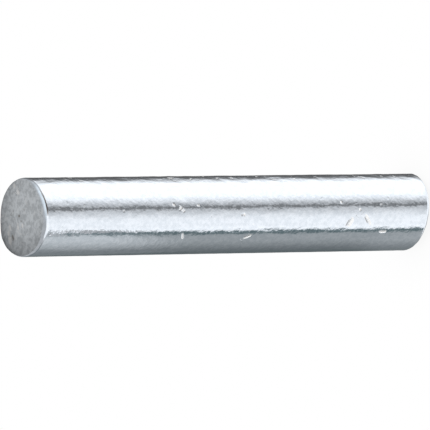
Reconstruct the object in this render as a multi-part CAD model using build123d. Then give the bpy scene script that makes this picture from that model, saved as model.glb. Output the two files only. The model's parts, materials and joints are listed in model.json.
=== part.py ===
from build123d import *

import os

# Retaining pin of an impact socket: one plain round steel pin, cut to length, tumbled and plated.
# It goes through the cross hole of the socket and of the square drive inside it, and a rubber ring
# that lies round the socket keeps it there. Both ends are alike: a flat face with a rounded edge
# that finds the hole. The pin stands on its lower end face, whose centre is the origin, and its
# axis is +Z. Every length is in millimetres.

pin_diameter = 4.0
pin_length = 25.0        # from end face to end face
rounding_length = 0.3    # how far a rounded edge reaches along the axis
rounding_depth = 0.2     # how far it draws in from the full diameter

wall_radius = pin_diameter / 2
end_face_radius = wall_radius - rounding_depth
quarter_turn = 90


def rounded_edge(height, start_angle):
    """A quarter ellipse that meets the wall at this height and its end face at the flat's rim."""
    return EllipticalCenterArc(
        (end_face_radius, height),
        x_radius=rounding_depth,
        y_radius=rounding_length,
        start_angle=start_angle,
        arc_size=quarter_turn,
    )


def half_section():
    """The half of the pin's lengthwise section that lies beside its axis."""
    with BuildSketch(Plane.XZ) as section:
        with BuildLine():
            lower_edge = rounded_edge(rounding_length, start_angle=-quarter_turn)
            upper_edge = rounded_edge(pin_length - rounding_length, start_angle=0)
            Line(lower_edge @ 1, upper_edge @ 0)
            Polyline(upper_edge @ 1, (0, pin_length), (0, 0), lower_edge @ 0)
        make_face()
    return section.sketch


os.makedirs("parts", exist_ok=True)
retaining_pin = revolve(half_section(), axis=Axis.Z)
export_step(retaining_pin, "parts/retaining_pin.step")
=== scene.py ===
import json
import math

import bpy
import numpy as np
from mathutils import Matrix, Vector


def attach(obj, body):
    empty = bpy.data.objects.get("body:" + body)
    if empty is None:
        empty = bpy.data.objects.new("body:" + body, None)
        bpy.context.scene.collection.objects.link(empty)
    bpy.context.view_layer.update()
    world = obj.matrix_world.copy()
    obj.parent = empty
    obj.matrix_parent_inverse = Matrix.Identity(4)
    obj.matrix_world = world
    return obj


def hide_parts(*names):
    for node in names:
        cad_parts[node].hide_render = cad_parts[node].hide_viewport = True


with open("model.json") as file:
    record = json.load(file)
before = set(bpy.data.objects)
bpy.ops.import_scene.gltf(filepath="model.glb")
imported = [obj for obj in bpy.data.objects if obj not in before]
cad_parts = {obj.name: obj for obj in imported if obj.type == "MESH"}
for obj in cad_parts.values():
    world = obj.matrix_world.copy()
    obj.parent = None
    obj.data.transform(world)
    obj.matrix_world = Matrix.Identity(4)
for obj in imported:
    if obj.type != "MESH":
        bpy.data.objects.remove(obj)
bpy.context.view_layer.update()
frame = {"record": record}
millimetre = 0.001
micrometre = 0.000001

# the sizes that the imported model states
mounts = {mount["name"]: mount for mount in frame["record"]["mounts"]}
pinRadius = mounts["shank"]["dims"]["r_mm"] * millimetre
pinLength = mounts["upper_end_face"]["pos_m"][2]
print("frame loaded: pin", round(pinLength / millimetre, 2), "mm long")


def addNode(tree, kind, **settings):
    node = tree.nodes.new(kind)
    for name, value in settings.items():
        setattr(node, name, value)
    return node


def feed(tree, source, target):
    # source is a socket or a plain value; target is the input socket that takes it
    if isinstance(source, bpy.types.NodeSocket):
        tree.links.new(source, target)
    else:
        target.default_value = source


def mathNode(tree, operation, first, second=0.5, third=0.0):
    node = addNode(tree, "ShaderNodeMath", operation=operation)
    feed(tree, first, node.inputs[0])
    feed(tree, second, node.inputs[1])
    feed(tree, third, node.inputs[2])
    return node.outputs[0]


def smoothStep(tree, value, low, high, atLow=0.0, atHigh=1.0):
    node = addNode(tree, "ShaderNodeMapRange", interpolation_type="SMOOTHSTEP")
    for place, number in enumerate((value, low, high, atLow, atHigh)):
        feed(tree, number, node.inputs[place])
    return node.outputs[0]


def mixColours(tree, factor, first, second, blend="MIX"):
    node = addNode(tree, "ShaderNodeMix", data_type="RGBA", blend_type=blend)
    feed(tree, factor, node.inputs[0])
    feed(tree, first, node.inputs[6])
    feed(tree, second, node.inputs[7])
    return node.outputs[2]


def colourRamp(tree, value, stops):
    # stops are (place, grey) or (place, (red, green, blue))
    node = addNode(tree, "ShaderNodeValToRGB")
    ramp = node.color_ramp
    while len(ramp.elements) < len(stops):
        ramp.elements.new(1.0)
    for element, (place, tone) in zip(ramp.elements, stops):
        element.position = place
        element.color = (*tone, 1) if isinstance(tone, tuple) else (tone, tone, tone, 1)
    feed(tree, value, node.inputs[0])
    return node.outputs[0]


cameraView = {
    "elevation": 36.9,      # degrees above the horizon, on the -Y side
    "distance": 450,        # mm, from the point looked at
    "aimHeight": 12.825,    # mm up the pin
    "aimSide": -0.015,      # mm along X
    "lens": 734.2,          # mm
    "sensor": 36,           # mm
    "clip": (0.01, 20),     # m
    "roll": 90.80,          # degrees: the pin's head points left, and its foot a little up
}


def makeCamera():
    elevation = math.radians(cameraView["elevation"])
    back = Vector((0, -math.cos(elevation), math.sin(elevation)))
    aim = Vector((cameraView["aimSide"], 0, cameraView["aimHeight"])) * millimetre
    data = bpy.data.cameras.new("productCamera")
    data.sensor_width = cameraView["sensor"]
    data.lens = cameraView["lens"]
    data.clip_start, data.clip_end = cameraView["clip"]
    camera = bpy.data.objects.new("productCamera", data)
    bpy.context.collection.objects.link(camera)
    upright = (-back).to_track_quat("-Z", "Y").to_matrix().to_4x4()
    turned = Matrix.Rotation(math.radians(-cameraView["roll"]), 4, "Z")
    place = Matrix.Translation(aim + back * cameraView["distance"] * millimetre)
    camera.matrix_world = place @ upright @ turned
    bpy.context.scene.camera = camera


makeCamera()
print("camera placed")


# directions round the pin are in degrees from the front (-Y), positive towards +X
pinForm = {
    "headEdge": [                   # degrees and mm: the head's rounded edge is uneven
        (-150, 0.04), (-120, 0.03), (-90, 0.07), (-66, 0.15), (-42, 0.18), (-20, 0.28), (15, 0.29),
        (45, 0.28), (60, 0.24), (90, 0.13), (115, 0.05), (145, 0.06), (180, 0.15),
    ],
    "headRise": [                   # degrees and mm: how far the head's rim leaves the slanted plane
        (-170, 0.0), (-150, 0.04), (-132, 0.045), (-115, 0.0), (-90, -0.05), (-62, -0.09), (-40, -0.04),
        (-10, 0.02), (10, 0.09), (25, 0.12), (43, 0.17), (60, 0.10), (90, 0.0),
    ],
    "headSlant": 0.036,             # mm per mm: the shear left the head a little out of square
    "footBevelSlope": 37,           # degrees from level: the foot's bevel is a cone, set off centre,
    "footBevelLow": 0.0,            # mm up the wall to the bevel's upper corner where it is lowest,
    "footBevelHigh": 0.59,          # and across from there, where the shear broke the edge away
    "footBevelLeast": 0.015,        # mm, height that is left of the corner where the cone runs out
    "footLowSide": 111,             # degrees
    "footCorner": [                 # degrees and mm: rounding of the bevel's upper corner
        (-90, 0.07), (-45, 0.10), (-25, 0.24), (0, 0.28), (50, 0.28), (90, 0.20), (180, 0.20),
    ],
    "footRidgeRounding": 0.10,      # mm, radius between the bevel and the flat face
    "edgeRipple": 0.012,            # share by which an edge varies over short stretches,
    "rippleReach": (7, 2.5),        # and the widths of their long and short ones, in grid steps
    "edgeSmoothness": 0.75,         # share of the fine grain that the rolled edges lack
    "faceCrown": 0.015,             # mm that the middle of an end face stands above its edge
    "waves": 0.0006,                # mm, long soft waves left by drawing
    "waveReach": (2.5, 0.30),       # mm along the pin and round it
    "pits": 0.0016,                 # mm, short unevenness left by tumbling
    "pitReach": (0.18, 0.10),       # mm along the pin and round it
    "wornSide": (74, 16),           # degrees: the middle and reach of the side that is worn most
    "wornPits": 2.5,                # how much more there is there of the pits,
    "wornGrain": 0.8,               # and of the fine grain
    "faceRelief": 0.0040,           # mm, unevenness of the sheared head face
    "reliefWaves": 60,              # waves of many directions that make it up,
    "reliefReach": (0.25, 1.1),     # and their lengths in mm
    "nickShare": 0.35,              # share of a nick's depth that the mesh takes; the finish adds the look
    "faceFrom": 50,                 # degrees of tilt on the head's edge, above which a nick is the face's
    "seed": 41,                     # of everything that chance gives the pin
}
# stations round the pin, and along each part of its half section
pinGrid = {"around": 232, "wall": 356, "edge": 10, "head": 30, "foot": 12, "ridge": 4, "corner": 8}

# direction in degrees, mm below the head, length and width in mm, turn in degrees from the pin's
# axis, depth in micrometres, which is below 0 where the nick holds dirt
wallNicks = [
    (-29.9, 21.73, 0.40, 0.12, 2, 24),
    (12.1, 21.49, 0.18, 0.13, 4, 6),
    (21.6, 22.01, 0.14, 0.13, 73, 5),
    (4.6, 20.07, 0.14, 0.10, 90, 14),
    (-10.8, 20.61, 0.62, 0.14, 125, 28),
    (-11.0, 20.47, 0.46, 0.07, 125, -12),
    (-13.8, 19.46, 0.48, 0.24, 61, 26),
    (-14.8, 19.28, 0.42, 0.07, 61, -14),
    (15.6, 8.13, 0.16, 0.14, 170, 10),
    (9.8, 8.54, 0.26, 0.12, 37, 9),
    (5.6, 8.72, 0.18, 0.10, 32, 8),
    (-32.5, 8.83, 0.34, 0.10, 108, 16),
    (-35.0, 13.01, 0.44, 0.12, 26, 26),
    (16.4, 18.90, 0.12, 0.12, 0, 12),
    (-0.5, 12.56, 0.12, 0.13, 0, 18),
    (-1.1, 12.40, 0.08, 0.09, 0, -14),
    (14.2, 9.68, 0.19, 0.10, 0, 10),
    (15.5, 2.50, 0.20, 0.11, 46, 5),
    (7.2, 4.92, 0.14, 0.13, 12, 6),
    (20.0, 1.46, 0.16, 0.14, 80, -5),
    (-25.5, 0.42, 0.16, 0.12, 90, -8),
    (-2.1, 10.46, 0.10, 0.09, 0, -6),
    (75.0, 14.50, 0.24, 0.11, 85, 16),
    (80.0, 11.18, 0.24, 0.11, 80, 14),
    (66.3, 10.04, 0.30, 0.10, 40, 10),
    (65.0, 3.1, 0.30, 0.10, -35, 8),
]
# place on the head's face in mm (x, y), length and width in mm, turn in degrees from +X, depth in
# micrometres, below 0 where the nick holds dirt
headNicks = [
    (1.28, 0.40, 0.34, 0.15, 45, 20),
    (1.59, 0.72, 0.24, 0.16, 31, 20),
    (-1.17, 1.00, 0.34, 0.20, 10, 26),
    (-0.80, 1.16, 0.24, 0.15, 20, 18),
    (-1.02, 0.76, 0.34, 0.16, 25, -14),
    (0.07, 0.28, 0.14, 0.15, 0, -18),
    (-0.18, 0.08, 0.15, 0.15, 60, -9),
    (0.31, 0.78, 0.15, 0.14, 0, -8),
    (0.37, -0.16, 0.17, 0.14, 0, -8),
    (0.12, 0.98, 0.17, 0.12, 60, -8),
    (-0.42, -0.04, 0.24, 0.16, 10, 11),
    (-0.52, 1.02, 0.34, 0.16, 30, 11),
    (-0.46, 0.36, 0.40, 0.16, 5, 10),
    (-1.30, -0.10, 0.22, 0.14, 40, -8),
    (0.80, -0.30, 0.34, 0.14, 10, 5),
]
# nicks strewn by chance: sides in degrees, mm of wall left free at the head and at the foot, then
# ranges of length and width in mm and of depth in micrometres; the last are all over the head's face
strayNicks = {
    "count": 60, "sides": (0, 360), "free": (0.2, 0.2),
    "length": (0.08, 0.35), "width": (0.05, 0.09), "depth": (1.5, 6),
}
shoulderNicks = {
    "count": 26, "sides": (58, 88), "free": (0.4, 0.6),
    "length": (0.12, 0.40), "width": (0.07, 0.12), "depth": (4, 12),
}
strayHeadNicks = {"count": 44, "length": (0.10, 0.50), "width": (0.08, 0.15), "depth": (2, 6)}


def softNoise(chance, rows, columns, rowReach, columnReach):
    # white noise blurred in its spectrum by a bell curve: it has no seam, and its spread is 1;
    # the reaches are the blur's widths, in grid steps
    white = np.fft.rfft2(chance.standard_normal((rows, columns)))
    down = np.fft.fftfreq(rows)[:, None] * rowReach
    across = np.fft.rfftfreq(columns)[None, :] * columnReach
    bell = np.exp(-2 * math.pi ** 2 * (down ** 2 + across ** 2))
    blurred = np.fft.irfft2(white * bell, (rows, columns))
    return blurred / blurred.std()


def strayGrooves(chance, strays, firstRange, secondRange):
    # rows of two places, length, width, turn and depth, each drawn evenly from its range
    count = strays["count"]
    size = {name: chance.uniform(*strays[name], count) for name in ("length", "width", "depth")}
    return np.column_stack((
        chance.uniform(*firstRange, count), chance.uniform(*secondRange, count),
        size["length"], size["width"], chance.uniform(0, 180, count), size["depth"],
    ))


def nearestGroove(first, second, grooves, wrap=None):
    # for each point of a flattened surface, in mm, its place in the frame of the groove nearest to
    # it: along it in half lengths, aside of it in half widths, and the groove's depth, which is 0
    # out of its reach; wrap is the length after which first comes round again. A groove reaches
    # a little further than its width, so that its bell has died away before it is cut off.
    best = np.full(first.shape, np.inf)
    place = np.zeros(first.shape + (3,))
    for firstPlace, secondPlace, length, width, turn, depth in grooves:
        across = first - firstPlace
        if wrap:
            across = (across + wrap / 2) % wrap - wrap / 2
        down = second - secondPlace
        angle = math.radians(turn)
        along = down * math.cos(angle) + across * math.sin(angle)
        aside = across * math.cos(angle) - down * math.sin(angle)
        distance = np.hypot(np.maximum(np.abs(along) - length / 2, 0), aside)
        nearer = distance < best
        best[nearer] = distance[nearer]
        reach = 1.25 * width + 0.1
        inReach = distance < reach
        here = np.stack((2 * along / length, 2 * aside / width, depth * inReach), axis=-1)
        place[nearer] = here[nearer]
    return place


def grooveHeight(place):
    # minus a bell across the groove, with soft ends
    along, aside, depth = np.moveaxis(place, -1, 0)
    return -np.abs(depth) * np.exp(-along ** 4 - aside ** 2)


def roundPin(sizes, azimuth):
    # sizes given at some directions in degrees, joined by straight lines all the way round
    return np.interp(np.degrees(azimuth), *zip(*sizes), period=360)


def roundedEdge(rounding):
    # a quarter circle as radius lost, height from its end face and tilt of the normal, station by
    # station from the face to the wall; rounding is given for each direction round the pin
    tilt = np.linspace(-math.pi / 2, 0, pinGrid["edge"] + 1)[:, None] + 0 * rounding
    return rounding * (1 - np.cos(tilt)), rounding * (1 + np.sin(tilt)), tilt


def bevelledEdge(corner, cornerRound):
    # from the face to the wall: an arc over the ridge, the straight bevel and an arc over the corner,
    # each as radius lost, height and tilt of the normal; corner is the height at which the bevel's
    # line would meet the wall, and cornerRound the arc there, both given for each direction round
    # the pin. Where the corner is low, both arcs shrink, so that they stay shorter than the bevel.
    slope = math.radians(pinForm["footBevelSlope"])
    bevelTilt = slope - math.pi / 2
    ridge = pinForm["footRidgeRounding"]
    arcShare = ridge * math.tan(slope / 2) + cornerRound * math.tan(-bevelTilt / 2)
    shrink = np.minimum(1, 0.95 * corner / math.sin(slope) / arcShare)
    ridge, cornerRound = ridge * shrink, cornerRound * shrink
    tilt = np.linspace(-math.pi / 2, bevelTilt, pinGrid["ridge"] + 1)[:, None] + 0 * corner
    ridgeLost = corner / math.tan(slope) + ridge * (math.tan(slope / 2) - np.cos(tilt))
    ridgeHeight = ridge * (1 + np.sin(tilt))
    cornerTilt = np.linspace(bevelTilt, 0, pinGrid["corner"] + 1)[:, None] + 0 * corner
    cornerLost = cornerRound * (1 - np.cos(cornerTilt))
    cornerHeight = corner + cornerRound * (math.tan(-bevelTilt / 2) + np.sin(cornerTilt))
    between = np.array((0.25, 0.5, 0.75))[:, None]
    lost = np.concatenate((
        ridgeLost, ridgeLost[-1] * (1 - between) + cornerLost[0] * between, cornerLost))
    height = np.concatenate((
        ridgeHeight, ridgeHeight[-1] * (1 - between) + cornerHeight[0] * between, cornerHeight))
    return lost, height, np.concatenate((tilt, bevelTilt + 0 * between + 0 * corner, cornerTilt))


def edgeRipple(chance, around):
    # 1 and a small share of a long and a short noise, both seamless round the pin
    long, short = (softNoise(chance, 1, around, 1, reach)[0] for reach in pinForm["rippleReach"])
    return 1 + pinForm["edgeRipple"] * (long + short)


def footCornerHeight(chance, azimuth, radius):
    # the cone's axis is moved towards the low side, so that a direction's distance from it to the
    # wall, less the cone's radius at the face, times its steepness is the corner's height
    steepness = math.tan(math.radians(pinForm["footBevelSlope"]))
    low, high = pinForm["footBevelLow"], pinForm["footBevelHigh"]
    shift = (high - low) / (2 * steepness)
    coneRadius = radius - (high + low) / (2 * steepness)
    toward = np.cos(azimuth - math.radians(pinForm["footLowSide"]))
    toWall = np.sqrt(radius ** 2 + shift ** 2 - 2 * radius * shift * toward)
    corner = steepness * (toWall - coneRadius)
    # never below the face: half the sum of the height and of its hypotenuse with a small length
    corner = (corner + np.hypot(corner, 2 * pinForm["footBevelLeast"])) / 2
    return corner * edgeRipple(chance, len(azimuth))


def smoothPin(chance, radius, length):
    # the half section is walked from the middle of the foot, over its edge, up the wall, over the
    # head's edge to the middle of the head, and turned round the axis: x is the radius times the
    # sine of the direction, and y is minus the radius times its cosine. Every station is a row of
    # the grid, with its radius, its height and the tilt of its normal.
    around = pinGrid["around"]
    azimuth = np.linspace(0, 2 * math.pi, around, endpoint=False)
    flatRow = np.zeros(around)
    corner = footCornerHeight(chance, azimuth, radius)
    footLost, footHeight, footTilt = bevelledEdge(corner, roundPin(pinForm["footCorner"], azimuth))
    rounding = roundPin(pinForm["headEdge"], azimuth) * edgeRipple(chance, around)
    headLost, headHeight, headTilt = roundedEdge(rounding)

    footFace = np.linspace(0, 1, pinGrid["foot"] + 1)[1:-1, None]
    headFace = np.linspace(0, 1, pinGrid["head"] + 1)[1:-1, None]
    wallShare = np.linspace(0, 1, pinGrid["wall"] + 1)[1:-1, None]
    ringRadius = np.concatenate((
        footFace * (radius - footLost[0]),
        radius - footLost,
        radius + 0 * wallShare + flatRow,
        (radius - headLost)[::-1],
        headFace[::-1] * (radius - headLost[0]),
    ))
    # heights before the slant, which drops the head towards +X, and before the rise of its rim; the
    # head's rows take both in full, and the wall's rows by their share of the way up
    headRim = length - pinForm["faceCrown"]
    ringHeight = np.concatenate((
        0 * footFace + flatRow,
        footHeight,
        footHeight[-1] * (1 - wallShare) + (headRim - headHeight[-1]) * wallShare,
        (headRim - headHeight)[::-1],
        length - pinForm["faceCrown"] * headFace[::-1] ** 2 + flatRow,
    ))
    tilt = np.concatenate((
        np.full_like(footFace, -math.pi / 2) + flatRow, footTilt, 0 * wallShare + flatRow,
        -headTilt[::-1], np.full_like(headFace, math.pi / 2) + flatRow,
    ))
    rowShare = np.concatenate((
        0 * footFace, 0 * footTilt[:, :1], wallShare, 1 + 0 * headTilt[:, :1], 1 + 0 * headFace))
    sideX = ringRadius * np.sin(azimuth)
    rise = roundPin(pinForm["headRise"], azimuth) * (ringRadius / radius) ** 2
    ringHeight = ringHeight + rowShare * (rise - pinForm["headSlant"] * sideX)
    return azimuth, ringRadius, ringHeight, tilt


def nickPlaces(chance, azimuth, ringRadius, ringHeight, tilt, radius, length):
    # the chosen nicks and some strays, on the unrolled wall and on the head's face
    turnLength = 2 * math.pi * radius
    arc = radius * azimuth[None, :] + 0 * ringHeight
    grooves = [(radius * math.radians(degrees), *rest) for degrees, *rest in wallNicks]
    for strewn in (strayNicks, shoulderNicks):
        sides = [radius * math.radians(degrees) for degrees in strewn["sides"]]
        headFree, footFree = strewn["free"]
        grooves.extend(strayGrooves(chance, strewn, sides, (headFree, length - footFree)))
    wallNick = nearestGroove(arc, length - ringHeight, grooves, turnLength)
    # on the face, a groove's turn is taken from +X, so the two directions change places
    grooves = [(y, x, *rest) for x, y, *rest in headNicks]
    grooves.extend(strayGrooves(chance, strayHeadNicks, (-radius, radius), (-radius, radius)))
    faceNick = nearestGroove(-ringRadius * np.cos(azimuth), ringRadius * np.sin(azimuth), grooves)
    onFace = tilt > math.radians(pinForm["faceFrom"])
    return np.where(onFace[..., None], faceNick, wallNick)


def wornPin():
    # unevenness and nicks move each point of the smooth pin along its normal, by a lift in mm that
    # is the sum of the waves and pits of the wall, the relief of the head and the nicks
    chance = np.random.default_rng(pinForm["seed"])
    radius, length = pinRadius / millimetre, pinLength / millimetre
    azimuth, ringRadius, ringHeight, tilt = smoothPin(chance, radius, length)
    rows, around = ringRadius.shape
    stepUp = length / pinGrid["wall"]
    stepRound = 2 * math.pi * radius / around
    waves, pits = (
        softNoise(chance, rows, around, along / stepUp, across / stepRound)
        for along, across in (pinForm["waveReach"], pinForm["pitReach"]))
    nick = nickPlaces(chance, azimuth, ringRadius, ringHeight, tilt, radius, length)
    relief = facePatches(chance, ringRadius * np.sin(azimuth), -ringRadius * np.cos(azimuth))

    onWall = np.cos(tilt) ** 2
    onHead = np.clip(np.sin(tilt), 0, 1) ** 4
    wornMiddle, wornReach = pinForm["wornSide"]
    worn = np.exp(-((np.degrees(azimuth) - wornMiddle) / wornReach) ** 2)
    lift = onWall * (pinForm["waves"] * waves + pinForm["pits"] * pits * (1 + pinForm["wornPits"] * worn))
    lift += onHead * pinForm["faceRelief"] * relief
    lift += pinForm["nickShare"] * grooveHeight(nick) * micrometre / millimetre
    ringRadius = ringRadius + lift * np.cos(tilt)
    ringHeight = ringHeight + lift * np.sin(tilt)
    # the rolled edges are smoother than the wall and the faces, most so from 25 to 65 degrees of tilt
    onEdge = np.clip(1.3 * np.abs(np.sin(2 * tilt)), 0, 1)
    grainShare = (1 - pinForm["edgeSmoothness"] * onEdge) * (1 + pinForm["wornGrain"] * worn * onWall)
    return azimuth, ringRadius, ringHeight, nick, grainShare


def facePatches(chance, sideX, sideY):
    # low swells on the sheared face: a sum of plane waves of many directions and lengths, the longer
    # the higher, with a spread of 1
    count = pinForm["reliefWaves"]
    direction = chance.uniform(0, 2 * math.pi, count)
    waveLength = chance.uniform(*pinForm["reliefReach"], count)
    phase = chance.uniform(0, 2 * math.pi, count)
    total = np.zeros_like(sideX)
    for angle, reach, start in zip(direction, waveLength, phase):
        ahead = sideX * math.cos(angle) + sideY * math.sin(angle)
        total += reach * np.sin(2 * math.pi / reach * ahead + start)
    return total / total.std()


def closedMesh(name, azimuth, ringRadius, ringHeight):
    # rings of points from the foot to the head, a point in the middle of each end, quads between
    # neighbouring rings and a fan of triangles at each end; all faces point outwards
    rows, around = ringRadius.shape
    x = ringRadius * np.sin(azimuth)
    y = -ringRadius * np.cos(azimuth)
    rings = np.stack((x, y, ringHeight), axis=-1).reshape(-1, 3)
    footMiddle = (0, 0, ringHeight[0].mean())
    headMiddle = (0, 0, ringHeight[-1].mean())
    points = np.vstack((rings, footMiddle, headMiddle)) * millimetre

    here = np.arange(around)
    ahead = np.roll(here, -1)
    base = np.arange(rows - 1)[:, None] * around
    quads = np.stack((base + here, base + ahead, base + around + ahead, base + around + here), axis=-1)
    footFan = np.stack((ahead, here, np.full(around, rows * around)), axis=-1)
    lastRing = (rows - 1) * around
    headFan = np.stack((lastRing + here, lastRing + ahead, np.full(around, rows * around + 1)), axis=-1)

    corners = np.concatenate((quads.reshape(-1), footFan.reshape(-1), headFan.reshape(-1)))
    sizes = np.concatenate((np.full(quads.size // 4, 4), np.full(2 * around, 3)))
    mesh = bpy.data.meshes.new(name)
    mesh.vertices.add(len(points))
    mesh.vertices.foreach_set("co", points.astype(np.float32).ravel())
    mesh.loops.add(len(corners))
    mesh.loops.foreach_set("vertex_index", corners.astype(np.int32))
    mesh.polygons.add(len(sizes))
    mesh.polygons.foreach_set("loop_start", (np.cumsum(sizes) - sizes).astype(np.int32))
    mesh.polygons.foreach_set("use_smooth", np.ones(len(sizes), bool))
    mesh.update(calc_edges=True)
    mesh.validate()
    return mesh


def makePin():
    azimuth, ringRadius, ringHeight, nick, grain = wornPin()
    mesh = closedMesh("platedPin", azimuth, ringRadius, ringHeight)
    pin = bpy.data.objects.new("platedPin", mesh)
    bpy.context.collection.objects.link(pin)
    # for the material: where each point lies in its nearest nick, and its share of the fine grain;
    # the points in the middle of the two ends have no nick and all of the grain
    place = mesh.attributes.new("nickPlace", "FLOAT_VECTOR", "POINT")
    places = np.vstack((nick.reshape(-1, 3), np.zeros((2, 3))))
    place.data.foreach_set("vector", places.astype(np.float32).ravel())
    share = mesh.attributes.new("grainShare", "FLOAT", "POINT")
    share.data.foreach_set("value", np.append(grain.ravel(), (1, 1)).astype(np.float32))
    return pin


pin = makePin()
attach(pin, "root")
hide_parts("retaining_pin")
print("pin surface made:", len(pin.data.polygons), "faces")


def newGroup(name, inputs, outputs):
    # inputs are (name, kind, default), outputs are (name, kind)
    group = bpy.data.node_groups.new(name, "ShaderNodeTree")
    for title, kind, default in inputs:
        group.interface.new_socket(title, in_out="INPUT", socket_type=kind).default_value = default
    for title, kind in outputs:
        group.interface.new_socket(title, in_out="OUTPUT", socket_type=kind)
    return group, group.nodes.new("NodeGroupInput").outputs, group.nodes.new("NodeGroupOutput").inputs


def useGroup(tree, group, values):
    node = addNode(tree, "ShaderNodeGroup", node_tree=group)
    for title, value in values.items():
        feed(tree, value, node.inputs[title])
    return node.outputs


def noise(tree, place, scale, detail=2.0, roughness=0.5, distortion=0.0):
    node = addNode(tree, "ShaderNodeTexNoise")
    feed(tree, place, node.inputs["Vector"])
    settings = {"Scale": scale, "Detail": detail, "Roughness": roughness, "Distortion": distortion}
    for title, value in settings.items():
        feed(tree, value, node.inputs[title])
    return node.outputs["Fac"]


platingLook = {
    "cloud": {"detail": 4, "roughness": 0.6, "distortion": 0.4},
    "grain": {"detail": 1, "roughness": 0.6},
    "grainRange": (0.2, 0.8),       # of the noise, over which the grain goes from 0 to 1
}


def makePlatingGrain():
    # a plated skin: Tone is cloudy, Grain is fine, Height is both, in micrometres
    group, given, result = newGroup(
        "platingGrain",
        [("Place", "NodeSocketVector", (0, 0, 0)), ("Cloud Size", "NodeSocketFloat", 1.0),
         ("Grain Size", "NodeSocketFloat", 0.1), ("Cloud Depth", "NodeSocketFloat", 1.0),
         ("Grain Depth", "NodeSocketFloat", 1.0), ("Softness", "NodeSocketFloat", 0.25)],
        [("Tone", "NodeSocketFloat"), ("Grain", "NodeSocketFloat"), ("Height", "NodeSocketFloat")],
    )
    perCloud = mathNode(group, "DIVIDE", 1 / millimetre, given["Cloud Size"])
    perGrain = mathNode(group, "DIVIDE", 1 / millimetre, given["Grain Size"])
    cloud = noise(group, given["Place"], perCloud, **platingLook["cloud"])
    grain = noise(group, given["Place"], perGrain, **platingLook["grain"])
    low = mathNode(group, "SUBTRACT", 0.5, given["Softness"])
    high = mathNode(group, "ADD", 0.5, given["Softness"])
    feed(group, smoothStep(group, cloud, low, high), result["Tone"])
    feed(group, smoothStep(group, grain, *platingLook["grainRange"]), result["Grain"])
    cloudHeight = mathNode(group, "MULTIPLY", cloud, given["Cloud Depth"])
    feed(group, mathNode(group, "MULTIPLY_ADD", grain, given["Grain Depth"], cloudHeight), result["Height"])
    return group


hairLook = {
    # how space is turned, in radians, and stretched for each of the two crossing directions
    "directions": [((0.3, 0.2, 0.5), (1, 1, 0.06)), ((1.1, 0.4, -0.7), (0.06, 1, 1))],
    "line": (0.004, 0.014),     # off the noise's middle: where a scratch is full and where it ends
    "patchScale": 0.7,          # of the cloud that lets scratches through, against their own
    "patchFrom": 0.75,          # level of that cloud above which they show where the amount is 0,
    "patchSpan": 0.4,           # how far an amount of 1 lowers it,
    "patchEdge": 0.05,          # and how far above it they are full
}
nickLook = {
    "cut": (1.5, 9.0),      # micrometres deep: where bare metal starts to show and is full
    "dirt": (1.5, 12.0),    # the same for dirt
}


def makeHairScratches():
    # thin straight scratches in two crossing directions, only where a slow cloud lets them through
    group, given, result = newGroup(
        "hairScratches",
        [("Place", "NodeSocketVector", (0, 0, 0)), ("Spacing", "NodeSocketFloat", 0.3),
         ("Amount", "NodeSocketFloat", 0.5)],
        [("Mask", "NodeSocketFloat")],
    )
    perSpacing = mathNode(group, "DIVIDE", 1 / millimetre, given["Spacing"])
    total = None
    for turn, stretch in hairLook["directions"]:
        turned = addNode(group, "ShaderNodeMapping", vector_type="POINT")
        feed(group, given["Place"], turned.inputs["Vector"])
        turned.inputs["Rotation"].default_value = turn
        turned.inputs["Scale"].default_value = stretch
        lines = noise(group, turned.outputs[0], perSpacing, detail=1, roughness=0.4)
        offLine = mathNode(group, "ABSOLUTE", mathNode(group, "SUBTRACT", lines, 0.5))
        thin = smoothStep(group, offLine, *hairLook["line"], 1, 0)
        perPatch = mathNode(group, "MULTIPLY", perSpacing, hairLook["patchScale"])
        cloud = noise(group, turned.outputs[0], perPatch, detail=0)
        lowered = mathNode(group, "MULTIPLY", given["Amount"], hairLook["patchSpan"])
        threshold = mathNode(group, "SUBTRACT", hairLook["patchFrom"], lowered)
        full = mathNode(group, "ADD", threshold, hairLook["patchEdge"])
        shown = smoothStep(group, cloud, threshold, full)
        line = mathNode(group, "MULTIPLY", thin, shown)
        total = line if total is None else mathNode(group, "MAXIMUM", total, line)
    feed(group, total, result["Mask"])
    return group


def makeNicks():
    # from a point's place in its nick, the nick's Height in micrometres, and masks of bare metal and
    # of dirt in it; the same form as in grooveHeight
    group, given, result = newGroup(
        "nicks",
        [("Nick Place", "NodeSocketVector", (0, 0, 0))],
        [("Height", "NodeSocketFloat"), ("Cut", "NodeSocketFloat"), ("Dirt", "NodeSocketFloat")],
    )
    split = addNode(group, "ShaderNodeSeparateXYZ")
    feed(group, given["Nick Place"], split.inputs[0])
    along, aside, depth = split.outputs

    def bell(value, power):
        # e to the minus of the value's size raised to the power
        raised = mathNode(group, "POWER", mathNode(group, "ABSOLUTE", value), power)
        return mathNode(group, "EXPONENT", mathNode(group, "MULTIPLY", raised, -1))

    reach = mathNode(group, "MULTIPLY", bell(along, 4), depth)
    cut = mathNode(group, "MULTIPLY", bell(aside, 2), reach)
    deep = mathNode(group, "ABSOLUTE", cut)
    feed(group, mathNode(group, "MULTIPLY", deep, -1), result["Height"])
    feed(group, smoothStep(group, cut, *nickLook["cut"]), result["Cut"])
    feed(group, smoothStep(group, mathNode(group, "MULTIPLY", cut, -1), *nickLook["dirt"]), result["Dirt"])
    return group


platingGrain = makePlatingGrain()
hairScratches = makeHairScratches()
nicks = makeNicks()
print("shared effects made")


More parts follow.
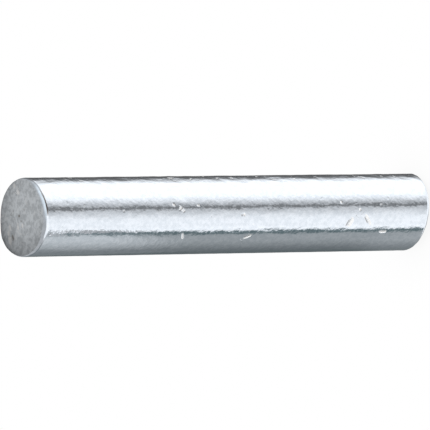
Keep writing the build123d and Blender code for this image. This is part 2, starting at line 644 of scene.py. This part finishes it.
wallFinish = {
    "colour": (0.775, 0.82, 0.88),
    "cloudColour": (0.685, 0.735, 0.795),
    "freshColour": (0.95, 0.95, 0.95),  # bare metal in a nick or a scratch
    "dirtColour": (0.30, 0.29, 0.28),
    "roughness": (0.07, 0.11),          # of the clear skin and of its clouds
    "cutRoughness": 0.35,               # added in a nick
    "cloudSize": 0.30,                  # mm
    "cloudSoftness": 0.20,              # half the range of the noise over which the tone changes
    "grainSize": 0.19,                  # mm
    "cloudDepth": 0.8,                  # micrometres
    "grainDepth": 8.0,                  # micrometres
    "grainTone": 1.3,                   # how far the grain takes the colour from cloud to clear skin
    "scratchSpacing": 0.30,             # mm
    "scratchAmount": 0.0,               # from 0, where hardly one shows, to 1
    "brightestSpot": (0, 0),                 # x and y in mm of the place where the base colour is brightest
    "darkeningByDistance": [(0, 1.0), (1, 1.0)],       # mm from there and share of the brightness; the wall has one
}
faceFinish = {
    "colour": (0.855, 0.90, 0.94),
    "cloudColour": (0.625, 0.66, 0.69),
    "freshColour": (1.0, 1.0, 1.0),
    "dirtColour": (0.38, 0.37, 0.36),
    "roughness": (0.30, 0.42),
    "cutRoughness": 0.10,
    "cloudSize": 0.30,
    "cloudSoftness": 0.11,
    "grainSize": 0.14,
    "cloudDepth": 10.0,
    "grainDepth": 9.0,
    "grainTone": 0.5,
    "scratchSpacing": 0.22,
    "scratchAmount": 0.45,
    # the end faces' base colour darkens with distance from this place, down to 0.30 of its brightness 2.68
    # mm away
    "brightestSpot": (0.5, -0.5),
    "darkeningByDistance": [
        (0.8, 1.0), (1.1, 0.96), (1.4, 0.90), (1.8, 0.78), (2.1, 0.68), (2.35, 0.58), (2.5, 0.48),
        (2.68, 0.30),
    ],
}


# what both finishes share: how fresh a hair scratch looks, its depth in micrometres, and the
# roughness that the grain adds
zincLook = {"scratchFresh": 0.6, "scratchDepth": 0.5, "grainRoughness": 0.03}


def brightnessByPlace(tree, place, finish):
    # the share of the base colour's brightness at a level distance from its brightest place; the distance
    # is taken as a share of the pin's width, because a ramp runs from 0 to 1
    perWidth = 0.5 / pinRadius
    level = addNode(tree, "ShaderNodeVectorMath", operation="MULTIPLY_ADD")
    feed(tree, place, level.inputs[0])
    brightX, brightY = (-side * millimetre * perWidth for side in finish["brightestSpot"])
    level.inputs[1].default_value = (perWidth, perWidth, 0)
    level.inputs[2].default_value = (brightX, brightY, 0)
    distance = addNode(tree, "ShaderNodeVectorMath", operation="LENGTH")
    feed(tree, level.outputs[0], distance.inputs[0])
    stops = [(away * millimetre * perWidth, share) for away, share in finish["darkeningByDistance"]]
    return colourRamp(tree, distance.outputs["Value"], stops)


def makeZinc(name, finish):
    material = bpy.data.materials.new(name)
    material.use_nodes = True
    tree = material.node_tree
    shader = tree.nodes["Principled BSDF"]
    place = addNode(tree, "ShaderNodeTexCoord").outputs["Object"]
    plating = useGroup(tree, platingGrain, {
        "Place": place, "Cloud Size": finish["cloudSize"], "Grain Size": finish["grainSize"],
        "Cloud Depth": finish["cloudDepth"], "Grain Depth": finish["grainDepth"],
        "Softness": finish["cloudSoftness"]})
    scratched = useGroup(tree, hairScratches, {
        "Place": place, "Spacing": finish["scratchSpacing"], "Amount": finish["scratchAmount"]})["Mask"]
    nickPlace = addNode(tree, "ShaderNodeAttribute", attribute_name="nickPlace").outputs["Vector"]
    nick = useGroup(tree, nicks, {"Nick Place": nickPlace})

    tone = mathNode(tree, "MULTIPLY_ADD", plating["Grain"], finish["grainTone"], plating["Tone"])
    tone = mathNode(tree, "SUBTRACT", tone, finish["grainTone"] / 2)
    skin = mixColours(tree, tone, (*finish["cloudColour"], 1), (*finish["colour"], 1))
    freshScratch = mathNode(tree, "MULTIPLY", scratched, zincLook["scratchFresh"])
    fresh = mathNode(tree, "MAXIMUM", nick["Cut"], freshScratch)
    colour = mixColours(tree, fresh, skin, (*finish["freshColour"], 1))
    colour = mixColours(tree, nick["Dirt"], colour, (*finish["dirtColour"], 1))
    # the base colour is darkened with distance from one place, as the finish's table gives; on the wall it
    # stays as it is
    colour = mixColours(tree, 1.0, colour, brightnessByPlace(tree, place, finish), blend="MULTIPLY")
    feed(tree, colour, shader.inputs["Base Color"])

    shader.inputs["Metallic"].default_value = 1.0
    clear, clouded = finish["roughness"]
    roughness = smoothStep(tree, plating["Tone"], 0.0, 1.0, clouded, clear)
    roughness = mathNode(tree, "MULTIPLY_ADD", plating["Grain"], zincLook["grainRoughness"], roughness)
    roughness = mathNode(tree, "MULTIPLY_ADD", nick["Cut"], finish["cutRoughness"], roughness)
    feed(tree, roughness, shader.inputs["Roughness"])

    grainShare = addNode(tree, "ShaderNodeAttribute", attribute_name="grainShare").outputs["Fac"]
    height = mathNode(tree, "MULTIPLY", plating["Height"], grainShare)
    height = mathNode(tree, "MULTIPLY_ADD", scratched, -zincLook["scratchDepth"], height)
    height = mathNode(tree, "ADD", height, nick["Height"])
    bump = addNode(tree, "ShaderNodeBump")
    bump.inputs["Strength"].default_value = 1.0
    bump.inputs["Distance"].default_value = micrometre
    feed(tree, height, bump.inputs["Height"])
    feed(tree, bump.outputs[0], shader.inputs["Normal"])
    return material


def dressPin(mesh):
    # the faces at both ends, which are nearly level, take the duller finish
    mesh.materials.append(makeZinc("zincWall", wallFinish))
    mesh.materials.append(makeZinc("zincEndFace", faceFinish))
    normal = np.empty(3 * len(mesh.polygons), np.float32)
    mesh.polygons.foreach_get("normal", normal)
    mostSlope = 20      # degrees from level that still count as an end face
    onEnd = np.abs(normal.reshape(-1, 3)[:, 2]) > math.cos(math.radians(mostSlope))
    mesh.polygons.foreach_set("material_index", onEnd.astype(np.int32))


dressPin(pin.data)
print("zinc finish applied")


# light seen in each direction round the pin: degrees from the front (-Y), positive towards +X, and
# brightness; the walls are seen below eye level, the belt near it, the ceiling above, the ground
# straight below. beltTop is the height to which the belt reaches, as the sine of its elevation.
# A soft white tent with dark panels in it is what gives bright metal its dark lines.
lightTent = {
    "walls": [
        (-147, (0.13, 0.15, 0.155)), (-123, (0.19, 0.205, 0.21)), (-99, (0.31, 0.325, 0.325)),
        (-84, (0.38, 0.395, 0.395)), (-68, (0.40, 0.415, 0.415)), (-61, (0.35, 0.375, 0.375)),
        (-57, (0.12, 0.16, 0.165)), (-51.5, (0.16, 0.21, 0.22)), (-47, 0.95), (-43, 1.24),
        (-38, 1.21), (-32, 1.11), (-24, 1.16), (-9, 1.09), (0, 0.94),
        (9, 0.765), (15, 0.64), (18.5, 0.42), (21, 0.22), (24.5, 0.22), (28, 0.47), (37, 0.76),
        (47, 1.12), (57, 1.34), (68, 1.42), (108, 1.42), (114, 1.16), (122, 0.90), (129, 0.54),
        (135, 0.30), (142, 0.16), (150, 0.13),
    ],
    "belt": [
        (-180, (0.15, 0.17, 0.18)), (-100, (0.20, 0.22, 0.23)), (-75, 0.32), (-62, 0.55), (-50, 1.15),
        (0, 1.25), (11, (0.40, 0.35, 0.31)), (20, (0.11, 0.085, 0.07)), (36, (0.10, 0.08, 0.07)),
        (47, (0.24, 0.19, 0.15)), (62, (0.42, 0.37, 0.33)), (80, 0.60), (105, 0.60), (125, 0.25),
        (180, (0.15, 0.17, 0.18)),
    ],
    "beltTop": [
        (-180, 0.05), (-72, 0.05), (-54, 0.34), (-20, 0.46), (2, 0.34), (15, 0.16), (62, 0.12),
        (180, 0.05),
    ],
    "ground": [
        (-180, 1.00), (-165, 0.60), (-150, 0.22), (-112, 0.22), (-84, 1.10), (0, 1.20), (110, 1.20),
        (180, 1.00),
    ],
}
# the sines of elevation between which one part of the tent passes into the next; the last pair
# counts from the belt's top
tentBlends = {
    "groundToWalls": (-0.78, -0.70), "wallsToBelt": (-0.45, -0.22), "beltToCeiling": (-0.07, 0.09),
}
# the ceiling is dark on one side and bright on the other, in the direction nearSide, in degrees; it
# changes while a ray's share in that direction grows as turn says
ceilingLight = {
    "away": (0.50, 0.50, 0.50),
    "near": (0.95, 1.02, 1.06),
    "nearSide": 50,
    "turn": (0.05, 0.95),
}


def makeLightTent():
    world = bpy.data.worlds.new("lightTent")
    bpy.context.scene.world = world
    world.use_nodes = True
    tree = world.node_tree
    background = tree.nodes["Background"]
    direction = addNode(tree, "ShaderNodeTexCoord").outputs["Generated"]
    split = addNode(tree, "ShaderNodeSeparateXYZ")
    feed(tree, direction, split.inputs[0])
    toX, toY, up = split.outputs
    azimuth = mathNode(tree, "ARCTAN2", toX, mathNode(tree, "MULTIPLY", toY, -1))
    turn = mathNode(tree, "MULTIPLY_ADD", azimuth, 1 / (2 * math.pi), 0.5)
    part = {
        name: colourRamp(tree, turn, [(degrees / 360 + 0.5, tone) for degrees, tone in stops])
        for name, stops in lightTent.items()
    }
    nearSide = math.radians(ceilingLight["nearSide"])
    across = mathNode(tree, "MULTIPLY", toX, math.sin(nearSide))
    across = mathNode(tree, "MULTIPLY_ADD", toY, -math.cos(nearSide), across)
    ceiling = mixColours(
        tree, smoothStep(tree, across, *ceilingLight["turn"]),
        (*ceilingLight["away"], 1), (*ceilingLight["near"], 1))
    tone = mixColours(
        tree, smoothStep(tree, up, *tentBlends["wallsToBelt"]), part["walls"], part["belt"])
    aboveBelt = mathNode(tree, "SUBTRACT", up, part["beltTop"])
    tone = mixColours(tree, smoothStep(tree, aboveBelt, *tentBlends["beltToCeiling"]), tone, ceiling)
    tone = mixColours(tree, smoothStep(tree, up, *tentBlends["groundToWalls"]), part["ground"], tone)
    seen = addNode(tree, "ShaderNodeLightPath").outputs["Is Camera Ray"]
    feed(tree, mixColours(tree, seen, tone, (1, 1, 1, 1)), background.inputs["Color"])
    background.inputs["Strength"].default_value = 1.0


# lengths in metres: the floor lies a hair below the pin, and is a little darker in the pin's shade
floorLook = {"halfSide": 3.0, "drop": 0.00001, "shadeReach": 0.004, "darkest": 0.91}


def makeFloor():
    side, level = floorLook["halfSide"], -floorLook["drop"]
    corners = [(-side, -side, level), (side, -side, level), (side, side, level), (-side, side, level)]
    mesh = bpy.data.meshes.new("floor")
    mesh.from_pydata(corners, [], [(0, 1, 2, 3)])
    floor = bpy.data.objects.new("floor", mesh)
    bpy.context.collection.objects.link(floor)
    material = bpy.data.materials.new("whiteFloor")
    material.use_nodes = True
    tree = material.node_tree
    tree.nodes.remove(tree.nodes["Principled BSDF"])
    shade = addNode(tree, "ShaderNodeAmbientOcclusion", samples=16)
    shade.inputs["Distance"].default_value = floorLook["shadeReach"]
    lit = smoothStep(tree, shade.outputs["AO"], 0.0, 1.0, floorLook["darkest"], 1.0)
    glow = addNode(tree, "ShaderNodeEmission")
    feed(tree, lit, glow.inputs["Color"])
    feed(tree, glow.outputs[0], tree.nodes["Material Output"].inputs["Surface"])
    mesh.materials.append(material)
    floor.visible_glossy = False
    floor.visible_diffuse = False


# cards that only the metal sees: an upright one beside the pin, mm away towards -X, and one that
# lies mm away above the floor at the foot. A patch has two ranges in mm, y and then z or x, each as
# the four places where it starts, is full, starts to fade and ends; then the share that it hides of
# what is behind it, and its light.
cardHalfSide = 40       # mm
glowCards = {
    "besideCard": {
        "upright": True,
        "away": 12,
        "patches": [
            ((-11, -7.5, -7, 10), (7, 13, 19, 22), 0.0, 0.28),
            ((-16.4, -14.2, -12.2, -10.8), (7.6, 8.8, 11.2, 12.6), 0.66, 0.10),
            ((-13.4, -12.0, -9.4, -7.4), (12.8, 14.2, 19, 22), 0.9, 0.50),
            ((3, 12, 20, 26), (3, 8, 19, 22), 0.0, 0.08),
        ],
    },
    "footCard": {
        "upright": False,
        "away": 0.1,
        "patches": [((-3, -1, 1, 5), (-8, -4.5, 0, 1), 0.0, 0.07)],
    },
}


def makeCardGlow(name, card):
    material = bpy.data.materials.new(name)
    material.use_nodes = True
    tree = material.node_tree
    tree.nodes.remove(tree.nodes["Principled BSDF"])
    split = addNode(tree, "ShaderNodeSeparateXYZ")
    feed(tree, addNode(tree, "ShaderNodeTexCoord").outputs["Object"], split.inputs[0])
    x, y, z = split.outputs
    places = (y, z) if card["upright"] else (y, x)
    clear, light = 1.0, 0.0
    for *ranges, cover, brightness in card["patches"]:
        mask = 1.0
        for place, (start, full, fade, end) in zip(places, ranges):
            rise = smoothStep(tree, place, start * millimetre, full * millimetre)
            fall = smoothStep(tree, place, fade * millimetre, end * millimetre, 1, 0)
            mask = mathNode(tree, "MULTIPLY", mask, mathNode(tree, "MULTIPLY", rise, fall))
        hidden = mathNode(tree, "MULTIPLY_ADD", mask, -cover, 1.0)
        clear = mathNode(tree, "MULTIPLY", clear, hidden)
        light = mathNode(tree, "MULTIPLY_ADD", mask, brightness, mathNode(tree, "MULTIPLY", light, hidden))
    glow = addNode(tree, "ShaderNodeEmission")
    feed(tree, light, glow.inputs["Strength"])
    through = addNode(tree, "ShaderNodeBsdfTransparent")
    feed(tree, clear, through.inputs["Color"])
    both = addNode(tree, "ShaderNodeAddShader")
    feed(tree, glow.outputs[0], both.inputs[0])
    feed(tree, through.outputs[0], both.inputs[1])
    feed(tree, both.outputs[0], tree.nodes["Material Output"].inputs["Surface"])
    return material


def makeCard(name, card):
    corners = np.array([(-1, -1), (1, -1), (1, 1), (-1, 1)]) * cardHalfSide * millimetre
    away = card["away"] * millimetre
    if card["upright"]:
        points = [(-away, along, up) for along, up in corners]
    else:
        points = [(across, along, away) for along, across in corners]
    mesh = bpy.data.meshes.new(name)
    mesh.from_pydata(points, [], [(0, 1, 2, 3)])
    mesh.materials.append(makeCardGlow(name, card))
    sheet = bpy.data.objects.new(name, mesh)
    bpy.context.collection.objects.link(sheet)
    sheet.visible_camera = False
    sheet.visible_diffuse = False
    sheet.visible_shadow = False


makeLightTent()
makeFloor()
for name, card in glowCards.items():
    makeCard(name, card)
bpy.context.scene.view_settings.view_transform = "Standard"
print("light tent and floor made")
